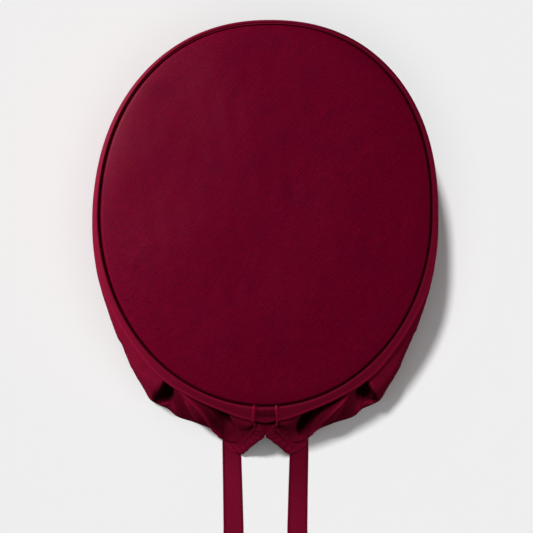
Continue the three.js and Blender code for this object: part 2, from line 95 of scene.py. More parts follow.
# The band, from the edge of the slit to the middle of the front. Each row is one fold line that
# runs from the ridge under the seam down to the rim: its turn at the ridge, how far out it stands
# at the ridge, waist, skirt and hem, how many degrees it has drifted at the last three, and the
# lift of its lower end.
FOLDS = {
    "slit edge": (4.1, 8.4, 10.2, 12, 12.9, -0.4, -0.8, -1, 50),
    "arch": (7.8, 7.5, 11.4, 16.4, 19.5, -1, -2.1, -2.8, 30),
    "tie exit": (12.5, 6.4, 10.2, 18.4, 25.4, -2.1, -4, -5, 10),
    "tie mouth": (15.5, 5.9, 6, 13.8, 26.4, -2.6, -5.2, -6, 3),
    "valley": (19.9, 5.6, 3.8, 9.8, 26.6, -5, -8.4, -9.6, 2),
    "valley flank": (25.5, 5.5, 4.8, 12.6, 26.4, -8, -12.7, -14.4, 2.1),
    "diagonal fold": (30.2, 5.8, 12, 20.6, 25.4, -9.9, -16.1, -18.1, 1.3),
    "lobe, inner": (31.1, 5.9, 12.2, 20, 22.6, -8.6, -14.2, -16, 0),
    "lobe, middle": (31.8, 6, 10.6, 18.2, 22.1, -5.3, -9.6, -11.4, 0),
    "lobe, outer": (32.5, 6.1, 10, 19, 23.6, -2.7, -5.3, -6.2, 0),
    "recess": (33.3, 6, 5.4, 12, 22.6, -1.2, -2.4, -4.2, 0),
    "recess, ear side": (34.3, 6, 5.6, 12, 23.4, -0.4, -1.4, -2.8, 0),
    "ear edge": (35.4, 6.1, 13.4, 20.8, 24.3, -0.6, -1.2, -1.2, 0),
    "ear": (36.3, 6.1, 14.4, 21.2, 24, 0, -0.7, -1, 0),
    "behind the ear": (39.8, 6, 14, 19.8, 21.8, 0, -0.6, -1.3, 0),
    "flare": (44.2, 5.5, 12.6, 17.6, 19, 0.1, 0, 0, 0),
    "crease": (49.4, 5.1, 10.6, 14.6, 15.8, 0.5, 0.8, 0.8, 0),
    "flare, side": (56.7, 5, 9.2, 12.5, 13.4, 0.5, 1.1, 1.1, 0),
    "temple, back": (64.2, 5.3, 8.2, 10.4, 11.4, 0.6, 1.2, 1.5, 0),
    "temple": (71.5, 5.4, 7.4, 9.2, 10, 0.7, 0.8, 0.9, 0),
    "side": (90, 4, 6, 7.4, 7.6, 0, 0, 0, 0),
    "side, front": (120, 3.3, 5, 6, 5.8, 0, 0, 0, 0),
    "forehead, side": (150, 2.7, 3.6, 4.1, 3.9, 0, 0, 0, 0),
    "forehead": (180, 2.3, 2.9, 3.2, 3, 0, 0, 0, 0),
}

# Creases and fold edges of the skirt: height, reach toward the slit and away from it, and the lines
# at the left and at the right as the eye above sees them on the ground.
CREASES = {
    "diagonal fold": (1.1, 1.1, 0.6,
        [(-48.5, -77), (-40.5, -84), (-33.5, -91.5), (-28.5, -99), (-25, -102), (-22.5, -106)],
        [(47, -79), (38.5, -87.5), (30.5, -96), (25.5, -101), (24, -103)]),
    "ear's edge": (0.8, 0.7, 3, [(-55.5, -72), (-57.5, -77), (-59.5, -81), (-61, -84.5)],
        [(56.5, -72.5), (58.5, -77.5), (62, -84.5)]),
    "pocket's hem": (1, 0.9, 0.9, [(-59, -84.5), (-56, -83), (-54, -82.5)],
        [(53.5, -82.5), (56, -81), (59, -81.5)]),
    "pocket's hem, inner": (1, 0.9, 0.9, [(-57, -87), (-54.5, -85), (-51, -84.5)],
        [(52, -85.5), (55, -84.5), (58.5, -85)]),
    "ear's crease": (-0.5, 1.2, 1.2, [(-80, -50), (-75, -57.5), (-69.5, -65), (-63.5, -71.5)],
        [(75, -54.5), (71, -61), (66, -68)]),
    "lobe's hem": (-0.7, 0.7, 0.7, [(-34, -95.5), (-28.5, -99.5)], [(30, -97), (33.5, -95)]),
    "valley": (0.35, 0.8, 0.8, [(-35.5, -83), (-28, -91), (-21.5, -98.5)],
        [(34.5, -85.5), (28.5, -93), (23.5, -98.5)]),
    "valley, middle": (0.35, 0.8, 0.8, [(-29, -85.5), (-22.5, -93.5), (-17, -100)],
        [(28.5, -88), (22, -96.5)]),
    "valley, inner": (0.3, 0.8, 0.8, [(-21.5, -89), (-16, -96.5)], [(21, -90), (17, -98)]),
    "lobe": (0.4, 2.5, 2.5, [(-43.5, -83.5), (-40, -90), (-35.5, -95.5)],
        [(43, -84.5), (39.5, -90.5), (35.5, -95)]),
    "lobe's edge": (0.5, 0.8, 1.5, [(-50, -78), (-50.5, -82.5), (-50, -86.5), (-48, -89.5)],
        [(51, -78), (51.5, -82.5), (50.5, -86.5), (48.5, -89.5)]),
}

# One tie's middle line, from under the rim to the free end: each point (x away from the middle, y).
TIE_WIDTH = 10.6
TIE_TAPER = (0.94, 1.05)  # shares of the width, under the rim and at the free end
TIE_THICKNESS = 1.3
TIE_HEIGHT = 0.7  # of that line over the ground
TIE_ROUTE = [
    (18.3, -104.6), (18.3, -108), (18.2, -112), (18.1, -116), (18, -120), (17.9, -124),
    (17.8, -128), (17.7, -132), (17.6, -137), (17.5, -142), (17.4, -147), (17.3, -152),
    (17.3, -157), (17.2, -162), (17.2, -167), (17.2, -172),
]

# The casing at the end of the rim's hem, from the top of the arch down to the tie: its height, its
# stitched edge on the band, its free edge on the arch (x away from the middle), and its depth.
CASING = [
    (55, (5.2, -92.9), (4.3, -93.3), 0.9),
    (50, (5.3, -95), (2.2, -95.8), 1.8),
    (45, (6.1, -96.6), (0.75, -98.1), 2.4),
    (40.5, (6.8, -97.8), (0.5, -100.2), 2.6),
    (35, (7.8, -99.5), (3.2, -102.7), 2.8),
    (28, (9.2, -101.5), (5.7, -105.3), 3),
    (20, (11, -103.9), (8, -107.7), 3),
    (11, (14, -106.6), (10.4, -110.7), 3.2),
    (5.6, (17.2, -107.7), (12.9, -112.3), 3),
    (3.2, (20.2, -107.5), (17.5, -111.1), 2),
    (2.5, (21.9, -107.3), (21.3, -108.5), 1.2),
]

# The V of cloth behind the slit: height, half its width, its place and how far its middle folds in.
GUSSET = [
    (64, 6.6, -85.5, 0),
    (58.5, 6, -89.2, 0.2),
    (54, 5, -93, 0.3),
    (49, 4, -95.8, 0.4),
    (44, 2.6, -98.2, 0.4),
    (40, 1.2, -99.8, 0.3),
]
SIDES = (("left", 1), ("right", -1))  # side is 1 on the -X side and -1 on the +X side


# ---- Curves and surfaces ----
def through(controls, shares):
    """Points at shares from 0 to 1 along the smooth curves through rows of control points."""
    controls = np.asarray(controls, float)
    place = np.clip(np.asarray(shares, float), 0, 1) * (len(controls) - 1)
    first = np.minimum(place.astype(int), len(controls) - 2)
    before, after = 2 * controls[:1] - controls[1:2], 2 * controls[-1:] - controls[-2:-1]
    spread = np.concatenate([before, controls, after])
    p0, p1, p2, p3 = (spread[first + k] for k in range(4))
    weight = (place - first).reshape(-1, *[1] * (controls.ndim - 1))
    d0, d1, d2 = (np.sqrt(np.linalg.norm(b - a, axis=-1, keepdims=True)).clip(1e-3)
                  for a, b in ((p0, p1), (p1, p2), (p2, p3)))
    start = ((p1 - p0) / d0 - (p2 - p0) / (d0 + d1) + (p2 - p1) / d1) * d1
    end = ((p2 - p1) / d1 - (p3 - p1) / (d1 + d2) + (p3 - p2) / d2) * d1
    square, cube = weight ** 2, weight ** 3
    return (p1 * (2 * cube - 3 * square + 1) + p2 * (3 * square - 2 * cube)
            + start * (cube - 2 * square + weight) + end * (cube - square))


def angles_round(sides):
    return [math.tau * k / sides for k in range(sides)]


def unit(vectors):
    return vectors / np.linalg.norm(vectors, axis=-1, keepdims=True).clip(1e-9)


def smoothstep(value, low, high):
    share = np.clip((value - low) / (high - low), 0, 1)
    return share * share * (3 - 2 * share)


def ramp(value, low, high, at_low, at_high):
    return at_low + (value - low) * (at_high - at_low) / (high - low)


def seam_height(y):
    length = SEAM["half_length"]
    return ramp(y - SEAM["middle_y"], -length, length, SEAM["back_z"], SEAM["front_z"])


def seam_point(turn):
    """The seam's points at turns in degrees: 0 is at the back, and turns below 180 are at -X."""
    across, along = np.sin(np.radians(turn)), np.cos(np.radians(turn))
    left, right = SEAM["front_powers"]
    power = np.where(along < 0, np.where(across > 0, 2 / left, 2 / right), 1)
    x = -SEAM["half_width"] * np.sign(across) * np.abs(across) ** power
    x = x + SEAM["skew"] * np.maximum(-along, 0)
    y = SEAM["middle_y"] - SEAM["half_length"] * np.sign(along) * np.abs(along) ** power
    return np.stack([x, y, seam_height(y)], axis=-1)


def outward(turn):
    """The level directions that point away from the cap, square to the seam."""
    along = seam_point(turn + 0.1) - seam_point(turn - 0.1)
    return unit(np.stack([-along[..., 1], along[..., 0], 0 * along[..., 0]], axis=-1))


def band_point(turn, out, z):
    point = seam_point(turn) + outward(turn) * np.asarray(out)[..., None]
    point[..., 2] = z
    return point


def bell(distance, width):
    """1 at distance 0, and next to nothing past twice the width."""
    return np.exp(-(distance / width) ** 2)


def folds_all_round(level):
    """The turn, reach and lift of the folds at a level: 0 is the ridge, and 3 is the hem."""
    rows = np.array(list(FOLDS.values()))
    lean = rows[:, 4 + level] if level else 0
    left = np.stack([rows[:, 0] + lean, rows[:, 1 + level], rows[:, -1]], axis=1)
    return np.concatenate([left, left[-2::-1] * (-1, 1, 1) + (360, 0, 0)])


LEVELS = [folds_all_round(level) for level in range(4)]

# Heights, as shares, of the band's lower control lines, from the rim up to the ridge.
HEIGHT_STOPS = (0, SKIRT, WAIST, 0.926, 0.97, 1)
RIDGE_LINE, LAST_LINE = 4, 9  # their numbers, down from the slot's bottom


def band_surface(shares, downs):
    """The band's outer face: a row for each share of the way down, a column for each one round."""
    ridge, waist, skirt, hem = (through(level, shares).T for level in LEVELS)
    turn, out, lift = ridge[0], ridge[1], hem[2]
    lift = np.maximum(lift, 0)
    top = seam_point(turn)[:, 2]
    ridge_z = top - ramp(out, NEAR_OUT, FAR_OUT, NEAR_DROP, FAR_DROP)
    under = ramp(out, NEAR_OUT, FAR_OUT, NEAR_UNDER, FAR_UNDER)
    waist_z = np.minimum(lift + (ridge_z - lift) * WAIST, ridge_z - WAIST_DROP)
    controls = np.stack([
        band_point(turn, SLOT_BOTTOM_OUT, top - SLOT_DEPTH),
        band_point(turn, SLOT_TOP_OUT, top - SLOT_TOP_DROP),
        band_point(turn, ROLL_LIP_OUT, top + ROLL_LIP_RISE),
        band_point(turn, out - SHOULDER_INSIDE, ridge_z + SHOULDER_ABOVE),
        band_point(turn, out, ridge_z),
        band_point(turn, out - under / 2, ridge_z - TUCK_MIDDLE),
        band_point(turn, out - under, ridge_z - TUCK_END),
        band_point(waist[0], waist[1], waist_z),
        band_point(skirt[0], skirt[1], lift + (ridge_z - lift) * SKIRT),
        band_point(hem[0], hem[1], lift),
    ])
    return through(controls, downs)


def down_at(height):
    """The share of the way down the band at a height from 0, the rim, to 1, the ridge."""
    line = np.interp(height, HEIGHT_STOPS, range(LAST_LINE, RIDGE_LINE - 1, -1))
    return line / LAST_LINE


def face_normals(grid):
    """The outward direction at each point of a grid: its columns go round, and its rows down."""
    down, along = np.gradient(grid, axis=0), np.gradient(grid, axis=1)
    return unit(np.cross(along, down))


def run_along(line):
    """How far along a line of points each of them lies."""
    return np.concatenate([[0], np.cumsum(np.linalg.norm(np.diff(line, axis=0), axis=1))])


def spaced(line, step):
    """Places evenly spaced along a line, as numbers between its points, without its two ends."""
    along = run_along(line)
    count = max(2, int(round(along[-1] / step)) + 1)
    return np.interp(np.linspace(0, along[-1], count), along, np.arange(len(line)))[1:-1]


def points_at(line, places):
    return np.stack([np.interp(places, range(len(line)), row) for row in line.T], axis=1)


WAVES, WAVE_SIZES = 24, (0.6, 1.4)  # how many make up a random height, and how unlike they are


def ripples(u, v, length_u, length_v, seed):
    """A smooth random height about 1 high, with the given wave lengths along u and v."""
    random = np.random.default_rng(seed)
    total = 0 * u
    for _ in range(WAVES):
        angle = random.uniform(0, math.tau)
        size = random.uniform(*WAVE_SIZES)
        phase = random.uniform(0, math.tau)
        way = u * math.cos(angle) / length_u + v * math.sin(angle) / length_v
        total = total + np.cos(math.tau * size * way + phase)
    return total / math.sqrt(WAVES / 2)


# ---- Camera ----
CAMERA_PLACE = (0.62, -11.2, 1084)
CAMERA_ANGLE = 15.18  # in degrees

camera_data = bpy.data.cameras.new("camera")
camera_data.angle = math.radians(CAMERA_ANGLE)
camera_data.clip_start, camera_data.clip_end = 0.01, 20
camera = bpy.data.objects.new("camera", camera_data)
camera.location = [value * MM for value in CAMERA_PLACE]
bpy.context.collection.objects.link(camera)
bpy.context.scene.camera = camera


# ---- Making meshes ----
def new_piece(name, points, faces, uvs=None):
    """A mesh object from points in millimetres, with its UV map in metres."""
    mesh = bpy.data.meshes.new(name)
    mesh.from_pydata((np.asarray(points).reshape(-1, 3) * MM).tolist(), [], faces)
    if uvs is not None:
        layer = mesh.uv_layers.new(name="cloth")
        corners = np.array([loop.vertex_index for loop in mesh.loops])
        layer.data.foreach_set("uv", (np.asarray(uvs).reshape(-1, 2) * MM)[corners].ravel())
    mesh.validate()
    piece = bpy.data.objects.new(name, mesh)
    bpy.context.collection.objects.link(piece)
    mesh.shade_smooth()
    return piece


def grid_faces(rows, columns, closed=False):
    """Quads of a grid; a closed one joins its last column to its first."""
    faces = []
    for row in range(rows - 1):
        for column in range(columns if closed else columns - 1):
            after = (column + 1) % columns
            faces.append((row * columns + column, row * columns + after,
                          (row + 1) * columns + after, (row + 1) * columns + column))
    return faces


def thicken(piece, thickness, weights=None, thin_share=1):
    """Gives a cloth its wall, behind its face. Weights go from 0, the thin share, to 1, full."""
    solidify = piece.modifiers.new("wall", "SOLIDIFY")
    solidify.thickness = thickness * MM
    solidify.offset = -1
    solidify.use_quality_normals = True
    if weights is not None:
        group = piece.vertex_groups.new(name="thick")
        for index, weight in enumerate(weights.ravel()):
            group.add([index], float(weight), "REPLACE")
        solidify.vertex_group = "thick"
        solidify.thickness_vertex_group = thin_share
    bpy.context.view_layer.objects.active = piece
    piece.select_set(True)
    bpy.ops.object.modifier_apply(modifier=solidify.name)
    piece.select_set(False)


def turn_toward(piece, direction, face=0):
    """Flips a sheet if its face of that number looks away from the direction."""
    if piece.data.polygons[face].normal.dot(direction) < 0:
        piece.data.flip_normals()


def keep_above_ground(piece):
    places = np.zeros(len(piece.data.vertices) * 3)
    piece.data.vertices.foreach_get("co", places)
    places[2::3] = places[2::3].clip(0)
    piece.data.vertices.foreach_set("co", places)
    piece.data.update()


def paint_light(piece, values):
    """Paints light and shade into a cloth, for its material: how much paler each point is (painted
    highlight), or below 0 darker (painted shade).
    """
    layer = piece.data.attributes.new("painted_light", "FLOAT", "POINT")
    layer.data.foreach_set("value", np.asarray(values, np.float32).ravel())


def seen_on_ground(points):
    """Where each point hides the ground from the eye above."""
    eye = np.array(CAMERA_PLACE)
    return eye[:2] + (points[..., :2] - eye[:2]) * (eye[2] / (eye[2] - points[..., 2:]))


def along_line(line, places):
    """How far places lie from a line, at what share of it, and (above 0) if at its left."""
    best = np.full(places.shape[:-1], np.inf)
    share, left = np.zeros_like(best), np.zeros_like(best)
    for k, (start, end) in enumerate(zip(line[:-1], line[1:])):
        step = end - start
        at = np.clip(((places - start) @ step) / (step @ step), 0, 1)
        off = places - start - at[..., None] * step
        distance = np.hypot(off[..., 0], off[..., 1])
        nearer = distance < best
        best = np.where(nearer, distance, best)
        share = np.where(nearer, (k + at) / (len(line) - 1), share)
        left = np.where(nearer, step[0] * off[..., 1] - step[1] * off[..., 0], left)
    return best, share, left


CREASE_STEPS = 24  # points along a crease
CREASE_FADE = 0.15  # the share of its length over which each end fades out


def crease_heights(points):
    """How far the creases lift each point of the skirt, and how much painted highlight they put on
    it, up to 1.
    """
    seen = seen_on_ground(points)
    total = np.zeros(seen.shape[:-1])
    painted_light = np.zeros(seen.shape[:-1])
    for height, inward, away, *lines in CREASES.values():
        for line, (_, side) in zip(lines, SIDES):
            line = through(line, np.linspace(0, 1, CREASE_STEPS))
            distance, share, left = along_line(line, seen)
            reach = np.where(left * side > 0, inward, away)
            ends = smoothstep(share, 0, CREASE_FADE) * smoothstep(1 - share, 0, CREASE_FADE)
            total = total + height * bell(distance, reach) * ends
            # Raised creases get a painted highlight along their line.
            if height > 0:
                painted_light = np.maximum(painted_light, min(height, 1) * bell(distance, CREASE_HIGHLIGHT_REACH) * ends)
    return total, painted_light


def flat_lengths(grid):
    """The cloth's own measure of each point of a grid: how far round and how far down it lies."""
    along = np.linalg.norm(np.diff(grid, axis=1), axis=-1).mean(axis=0)
    down = np.linalg.norm(np.diff(grid, axis=0), axis=-1)
    u = np.concatenate([[0], np.cumsum(along)])
    v = np.concatenate([np.zeros((1, grid.shape[1])), np.cumsum(down, axis=0)])
    return np.broadcast_to(u, v.shape), v


def cloth(name, grid, closed=False):
    """A sheet of cloth from its grid of points, with its own measure as its UV map."""
    u, v = flat_lengths(grid)
    return new_piece(name, grid, grid_faces(*grid.shape[:2], closed), np.stack([u, -v], axis=-1))


def tube(name, lines):
    """A closed tube from the lines of points that run along it, with its two ends filled."""
    piece = cloth(name, np.stack(lines, axis=1), closed=True)
    bpy.context.view_layer.objects.active = piece
    piece.select_set(True)
    bpy.ops.object.mode_set(mode="EDIT")
    bpy.ops.mesh.select_all(action="SELECT")
    bpy.ops.mesh.fill_holes(sides=len(lines))
    bpy.ops.mesh.normals_make_consistent(inside=False)
    bpy.ops.object.mode_set(mode="OBJECT")
    piece.select_set(False)
    return piece


def finish_piece(piece, material, slot, *nodes):
    piece.data.materials.clear()
    piece.data.materials.append(material)
    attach(piece, "root")
    if nodes:
        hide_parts(*nodes)
    return piece


STITCH_SIDES = 6
STITCH_RINGS = ((-0.5, 0.35), (-0.38, 1), (0, 1.15), (0.38, 1), (0.5, 0.35))  # place and girth
STITCH_FLATNESS = 0.7


def stitches(name, places, tangents, normals, length, width):
    """One joined mesh of stitches, each a short plump thread lying on the cloth."""
    tangents, normals = unit(np.asarray(tangents, float)), unit(np.asarray(normals, float))
    across = unit(np.cross(tangents, normals))
    rings = len(STITCH_RINGS)
    points, faces = [], []
    for place, tangent, side, normal in zip(places, tangents, across, normals):
        base = len(points)
        for at, girth in STITCH_RINGS:
            for angle in angles_round(STITCH_SIDES):
                spoke = side * math.cos(angle) + normal * math.sin(angle) * STITCH_FLATNESS
                points.append(place + tangent * at * length + spoke * girth * width / 2)
        for ring in range(rings - 1):
            for k in range(STITCH_SIDES):
                a, b = (base + ring * STITCH_SIDES + at for at in (k, (k + 1) % STITCH_SIDES))
                faces.append((a, a + STITCH_SIDES, b + STITCH_SIDES, b))
        last = base + (rings - 1) * STITCH_SIDES
        faces.append(tuple(range(base, base + STITCH_SIDES)))
        faces.append(tuple(reversed(range(last, last + STITCH_SIDES))))
    return new_piece(name, points, faces)


# ---- Materials ----
BUMP_STRENGTH = 0.6


class Value:
    """A number that varies over a surface: an output socket that the usual operators work on."""

    def __init__(self, surface, socket):
        self.surface = surface
        self.socket = socket

    def math(self, operation, *others):
        inputs = dict(enumerate((self, *others)))
        return self.surface.node("ShaderNodeMath", {"operation": operation}, inputs)

    def __add__(self, other):
        return self.math("ADD", other)

    def __sub__(self, other):
        return self.math("SUBTRACT", other)

    def __mul__(self, other):
        return self.math("MULTIPLY", other)

    def __truediv__(self, other):
        return self.math("DIVIDE", other)

    __radd__ = __add__
    __rmul__ = __mul__

    def __rsub__(self, other):
        return self.surface.node("ShaderNodeMath", {"operation": "SUBTRACT"}, {0: other, 1: self})

    def sine(self):
        return self.math("SINE")

    def between(self, low, high):
        """0 below low and 1 above high, with a soft step."""
        return self.surface.node("ShaderNodeMapRange", {"interpolation_type": "SMOOTHSTEP"},
                                 {"Value": self, "From Min": low, "From Max": high})


class Surface:
    """The nodes of one material, with its shader and its output."""

    def __init__(self, name):
        self.material = bpy.data.materials.new(name)
        self.material.use_nodes = True
        self.tree = self.material.node_tree
        self.tree.nodes.clear()
        self.shader = self.tree.nodes.new("ShaderNodeBsdfPrincipled")
        output = self.tree.nodes.new("ShaderNodeOutputMaterial")
        self.tree.links.new(self.shader.outputs[0], output.inputs[0])

    def node(self, kind, settings=None, inputs=None, output=0):
        """Adds a node, with its settings first and then the values or links of its sockets."""
        node = self.tree.nodes.new(kind)
        for key, value in (settings or {}).items():
            setattr(node, key, value)
        for key, value in (inputs or {}).items():
            self.put(node.inputs[key], value)
        return Value(self, node.outputs[output])

    def put(self, socket, value):
        if isinstance(value, Value):
            self.tree.links.new(value.socket, socket)
        elif socket.type == "RGBA":
            socket.default_value = (*value, 1)
        else:
            socket.default_value = value

    def set(self, **inputs):
        for key, value in inputs.items():
            self.put(self.shader.inputs[key.replace("_", " ")], value)

    def place(self, coordinates="Object"):
        """The three coordinates of a point: in the part's frame, or in the cloth's own measure."""
        if coordinates == "cloth":
            vector = self.node("ShaderNodeUVMap", {"uv_map": "cloth"})
        else:
            vector = self.node("ShaderNodeTexCoord", output=coordinates)
        split = self.tree.nodes.new("ShaderNodeSeparateXYZ")
        self.tree.links.new(vector.socket, split.inputs[0])
        return [Value(self, split.outputs[k]) for k in range(3)]

    def noise(self, place, detail=2, roughness=0.5):
        """Noise about 0.5 at a place given by its three numbers, with grains about 1 across."""
        vector = self.node("ShaderNodeCombineXYZ", None, dict(enumerate(place)))
        return self.node("ShaderNodeTexNoise", None, {
            "Vector": vector, "Scale": 1.0, "Detail": detail, "Roughness": roughness})

    def shaded(self, colour, amount):
        """A colour made darker or lighter, by a number about 1."""
        inputs = {0: colour, "Scale": amount}
        return self.node("ShaderNodeVectorMath", {"operation": "SCALE"}, inputs)

    def mix(self, share, first, second):
        mixed = self.tree.nodes.new("ShaderNodeMix")
        mixed.data_type = "RGBA"
        sockets = {s.name: s for s in mixed.inputs if s.enabled}
        for key, value in (("Factor", share), ("A", first), ("B", second)):
            self.put(sockets[key], value)
        return Value(self, next(s for s in mixed.outputs if s.enabled))

    def bump(self, height, distance):
        inputs = {"Height": height, "Distance": distance, "Strength": BUMP_STRENGTH}
        return self.node("ShaderNodeBump", None, inputs)


# The twill: grain sizes in metres, along and across the ribs, and how strongly each part shows in
# the colour and in the relief.
RIB_PITCH = 0.8 * MM
RIB_STRAY, RIB_STRAYING = (0.006, 0.0015), 2.5
YARN, STREAKS, PATCHES = (0.0009, 0.0005), (0.0055, 0.0022), (0.02, 0.012)
RIB_SHADE, YARN_SHADE, PATCH_SHADE = 1.1, 1.3, 0.25
RIB_RELIEF, YARN_RELIEF, STREAK_RELIEF = 0.6, 0.6, 0.5


def twill(name, reds, coordinates="cloth", contrast=0.3, relief=0.00006, sheen=0.08, painted_light=0):
    """Cotton twill: slanting ribs of uneven yarn, with soft streaks of worn colour along them.

    The last argument is how much paler the cloth is painted where its attribute of painted light
    and shade is 1: a painted highlight above 0, and painted shade below 0.
    """
    pale, deep, cool = reds
    surface = Surface(name)
    x, y, z = surface.place(coordinates)
    along, across = (x + y) * math.sqrt(0.5), (x - y) * math.sqrt(0.5)
    depth = z if coordinates == "Object" else 0.0

    def grain(size, **settings):
        return surface.noise((along / size[0], across / size[1], depth), **settings)

    stray = grain(RIB_STRAY)
    ribs = (across * (math.tau / RIB_PITCH) + (stray - 0.5) * RIB_STRAYING).sine() * 0.5 + 0.5
    yarn = grain(YARN, roughness=0.7)
    streaks = grain(STREAKS, detail=3, roughness=0.6)
    patches = grain(PATCHES, detail=3)
    shade = surface.mix((streaks - 0.5) * contrast + 0.5, deep, pale)
    shade = surface.mix(patches.between(0.5, 0.72) * (PATCH_SHADE * contrast), shade, cool)
    worn_ribs = (ribs - 0.5) * (RIB_SHADE * contrast) * streaks.between(0.3, 0.62)
    tone = 1 - (worn_ribs + (yarn - 0.5) * (YARN_SHADE * contrast))
    if painted_light:
        # The painted light and shade that each piece carries in its attribute.
        paler = surface.node("ShaderNodeAttribute", {"attribute_name": "painted_light"}, output="Fac")
        tone = tone * (1 + paler * painted_light)
    shade = surface.shaded(shade, tone)
    surface.set(Base_Color=shade, Roughness=0.5, Specular_IOR_Level=sheen, Diffuse_Roughness=0.5)
    height = ribs * RIB_RELIEF + yarn * YARN_RELIEF + streaks * STREAK_RELIEF
    surface.set(Normal=surface.bump(height, relief))
    return surface.material


PLY_PITCH, FUZZ, THREAD_RELIEF = 0.0005, 0.0004, 0.00005  # in metres


def spun(name, pale, deep):
    """Sewing thread: fine turns of its plies, paler where they stand up."""
    surface = Surface(name)
    x, y, z = surface.place()
    plies = ((x + y + z) * (math.tau / PLY_PITCH)).sine() * 0.5 + 0.5
    fuzz = surface.noise((x / FUZZ, y / FUZZ, z / FUZZ))
    shade = surface.mix(plies * 0.6 + fuzz * 0.4, deep, pale)
    surface.set(Base_Color=shade, Roughness=0.8, Specular_IOR_Level=0.0)
    surface.set(Normal=surface.bump(plies + fuzz * 0.5, THREAD_RELIEF))
    return surface.material


CLOUD, SPECK = 0.12, 0.0011  # sizes of the floor's unevenness, in metres


def painted(name, colour, unevenness):
    """A matt painted sheet, a very little uneven in its colour and its finish."""
    surface = Surface(name)
    x, y, z = surface.place()
    clouds = surface.noise((x / CLOUD, y / CLOUD, z), detail=3)
    specks = surface.noise((x / SPECK, y / SPECK, z), detail=1)
    shade = surface.shaded(colour, 1 + (clouds - 0.5) * unevenness + (specks - 0.5) * unevenness)
    surface.set(Base_Color=shade, Roughness=0.86 + clouds * 0.08, Specular_IOR_Level=0.0)
    return surface.material


# Each a pale, a deep and a cool red. The crown's weave shows more than the smoother cloth round it.
CROWN_REDS = ((0.152, 0.0007, 0.0175), (0.110, 0.0004, 0.0125), (0.097, 0.0007, 0.0190))
# Partly painted light: the band's reds are paler and greyer than the crown's, standing for the
# light and sheen on the band, trim and ties.
BAND_REDS = ((0.193, 0.0042, 0.0240), (0.140, 0.0028, 0.0170), (0.123, 0.0034, 0.0250))
crown_twill = twill("crown twill", CROWN_REDS, "Object", contrast=1.5, relief=0.00012, sheen=0.06,
                    painted_light=1.25)
band_twill = twill("band twill", BAND_REDS, contrast=0.35, painted_light=1.25)
trim_twill = twill("trim twill", BAND_REDS, painted_light=1.0)
tie_twill = twill("tie twill", BAND_REDS)
# The thread is far darker than the cloth: painted shade for the shadows of the stitch holes and of
# the slot's bottom.
thread = spun("thread", (0.062, 0.0010, 0.0070), (0.038, 0.0004, 0.0035))


# ---- The ties ----
TIE_RINGS = 90
TIE_SECTION = (  # its outline with pressed edges, in shares of half the width and the thickness
    (-1, -0.25), (-1, 0.3), (-0.975, 0.75), (-0.93, 0.95), (-0.86, 0.8), (-0.78, 0.72),
    (-0.4, 0.78), (0, 0.8), (0.4, 0.78), (0.78, 0.72), (0.86, 0.8), (0.93, 0.95), (0.975, 0.75),
    (1, 0.3), (1, -0.25), (0.95, -0.8), (0.5, -0.9), (0, -0.9), (-0.5, -0.9), (-0.95, -0.8))
TIE_STITCH_STEP = 2.2
TIE_SEAM_INSIDE = 0.9  # how far the stitches stand from the edge,
TIE_SEAM_UP, TIE_END_SEAM_UP = 0.86, 0.82  # and how high, as shares of half the thickness
TIE_END_HEM = 5  # how far the stitches across the free end stand from it
TIE_END_REACH = 3.3  # and how far to each side of the middle they go


def tie(label, side):
    """A flat tie with its edges and its end sewn, laid straight back."""
    route = np.array([(-side * x, y, TIE_HEIGHT) for x, y in TIE_ROUTE])
    line = through(route, np.linspace(0, 1, TIE_RINGS))
    half_width = TIE_WIDTH * ramp(line[:, 1], line[0, 1], line[-1, 1], *TIE_TAPER)[:, None] / 2
    half = TIE_THICKNESS / 2
    lines = [line + ACROSS * half_width * a + UP * half * b for a, b in TIE_SECTION]
    piece = tube(f"tie_cloth_{label}", lines)
    finish_piece(piece, tie_twill, "tie_twill", f"tie_{label}")
    places = []
    for edge in (-1, 1):
        seam = line + ACROSS * (half_width - TIE_SEAM_INSIDE) * edge + UP * half * TIE_SEAM_UP
        places.extend(points_at(seam, spaced(seam, TIE_STITCH_STEP)))
    tangents = [-AHEAD] * len(places)
    for at in np.arange(-TIE_END_REACH, TIE_END_REACH + 0.1, TIE_STITCH_STEP):
        places.append(line[-1] + ACROSS * at + AHEAD * TIE_END_HEM + UP * half * TIE_END_SEAM_UP)
        tangents.append(ACROSS)
    seam = stitches(f"tie_stitches_{label}", places, tangents, [UP] * len(places),
                    length=1.5, width=0.34)
    finish_piece(seam, thread, "tie_twill")
    tuple(line[0] * MM)
    (line * MM).tolist()


for label, side in SIDES:
    tie(label, side)


# ---- The crown ----
CROWN_COLUMNS = 288
CROWN_STEP = 1.6  # between the rings of the open top,
CROWN_TURN = 3  # which end this far inside the edge
CROWN_EDGE = (  # the rings of the turned edge: how far inside the edge, and how far dropped
    (2.4, 0), (1.8, 0), (1.3, 0), (0.95, 0.04), (0.62, 0.16), (0.34, 0.36), (0.14, 0.66),
    (0.02, 1.05), (0, 1.6), (0, 2.6), (0, 3.8), (0, SEAM["allowance"]))
CROWN_RIPPLES = ((0.3, (48, 60), 3), (0.05, (13, 16), 4))  # height, wave lengths and seed
CROWN_CALM = 14  # how far inside the edge the ripples are at their full height
CROWN_SHADE_REACH = 0.3  # how far inside the edge the painted shade of the slot begins
